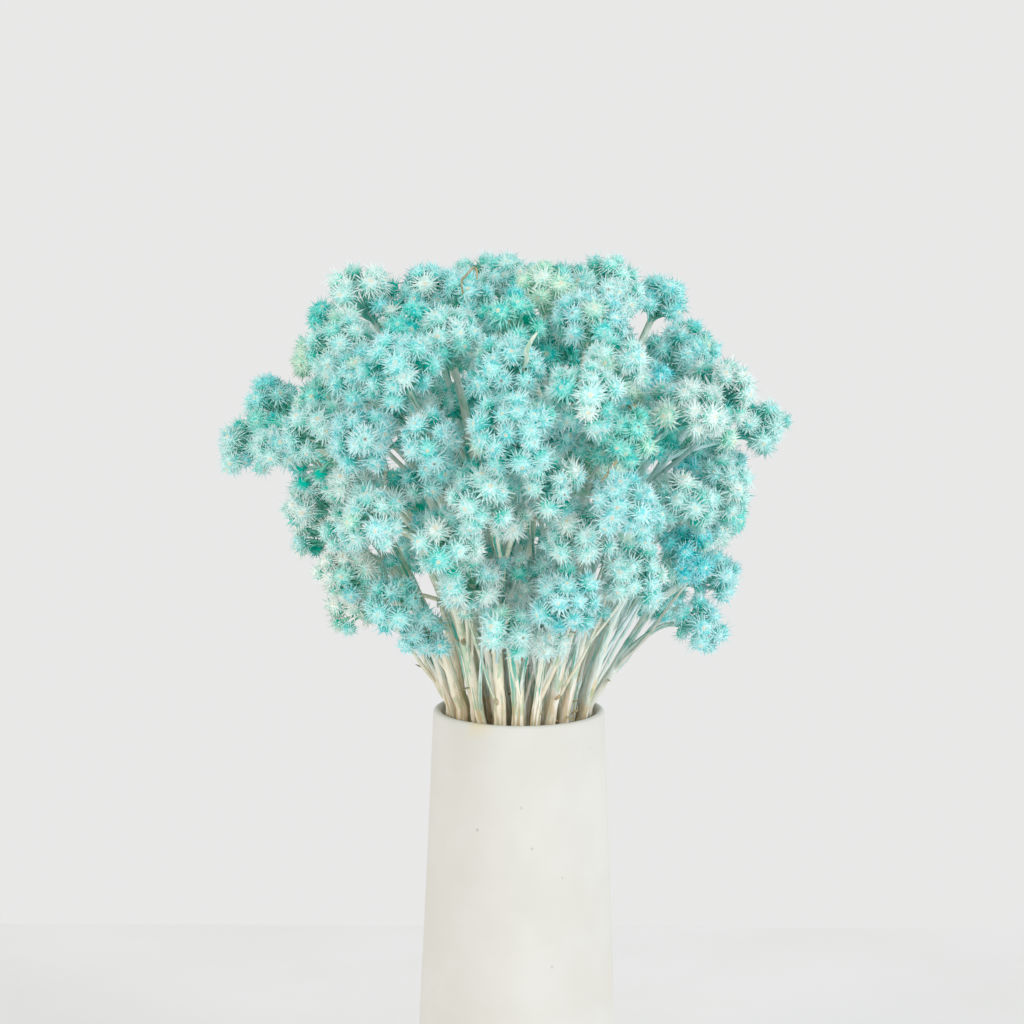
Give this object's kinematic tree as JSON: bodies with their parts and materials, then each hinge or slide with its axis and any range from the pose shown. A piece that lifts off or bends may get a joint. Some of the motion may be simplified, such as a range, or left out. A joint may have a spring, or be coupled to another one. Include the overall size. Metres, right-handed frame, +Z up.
{
  "type": "dried aster bouquet in vase",
  "caption": "Bouquet of dried, dyed aster sprays with needle-rayed turquoise heads on felted forked stems, standing in a tall, plain matte ceramic vase that widens to its foot.",
  "frame": {"origin": "centre of the vase's foot, on the surface that it stands on", "axes": "+Z up along the vase's axis; -Y is the front that the picture shows; +X is the viewer's right"},
  "size_m": [0.281, 0.274, 0.4655],
  "materials": {
    "bisque": "matte, unglazed warm white with tiny pits",
    "dyed_flower": "dry and papery, dyed pale aqua to deep teal, on pale felted stems"
  },
  "bodies": {
    "root": {"vase": "bisque", "spray_crown_1": "dyed_flower", "spray_crown_2": "dyed_flower", "spray_crown_3": "dyed_flower", "spray_crown_4": "dyed_flower", "spray_crown_5": "dyed_flower", "spray_crown_6": "dyed_flower", "spray_shoulder_1": "dyed_flower", "spray_shoulder_2": "dyed_flower", "spray_shoulder_3": "dyed_flower", "spray_shoulder_4": "dyed_flower", "spray_shoulder_5": "dyed_flower", "spray_shoulder_6": "dyed_flower", "spray_right_1": "dyed_flower", "spray_right_2": "dyed_flower", "spray_right_3": "dyed_flower", "spray_right_4": "dyed_flower", "spray_left_1": "dyed_flower", "spray_left_2": "dyed_flower", "spray_left_3": "dyed_flower", "spray_left_4": "dyed_flower", "spray_front_1": "dyed_flower", "spray_front_2": "dyed_flower", "spray_front_3": "dyed_flower", "spray_front_4": "dyed_flower", "spray_front_5": "dyed_flower", "spray_front_6": "dyed_flower", "spray_hem_1": "dyed_flower", "spray_hem_2": "dyed_flower", "spray_hem_3": "dyed_flower", "spray_hem_4": "dyed_flower", "spray_heart_1": "dyed_flower", "spray_heart_2": "dyed_flower", "spray_back_low_1": "dyed_flower", "spray_back_low_2": "dyed_flower", "spray_back_mid_1": "dyed_flower", "spray_back_mid_2": "dyed_flower", "spray_back_mid_3": "dyed_flower", "spray_back_mid_4": "dyed_flower", "spray_back_high_1": "dyed_flower", "spray_back_high_2": "dyed_flower", "spray_back_high_3": "dyed_flower", "spray_back_high_4": "dyed_flower", "spray_back_top_1": "dyed_flower", "spray_back_top_2": "dyed_flower"}
  },
  "joints": []
}
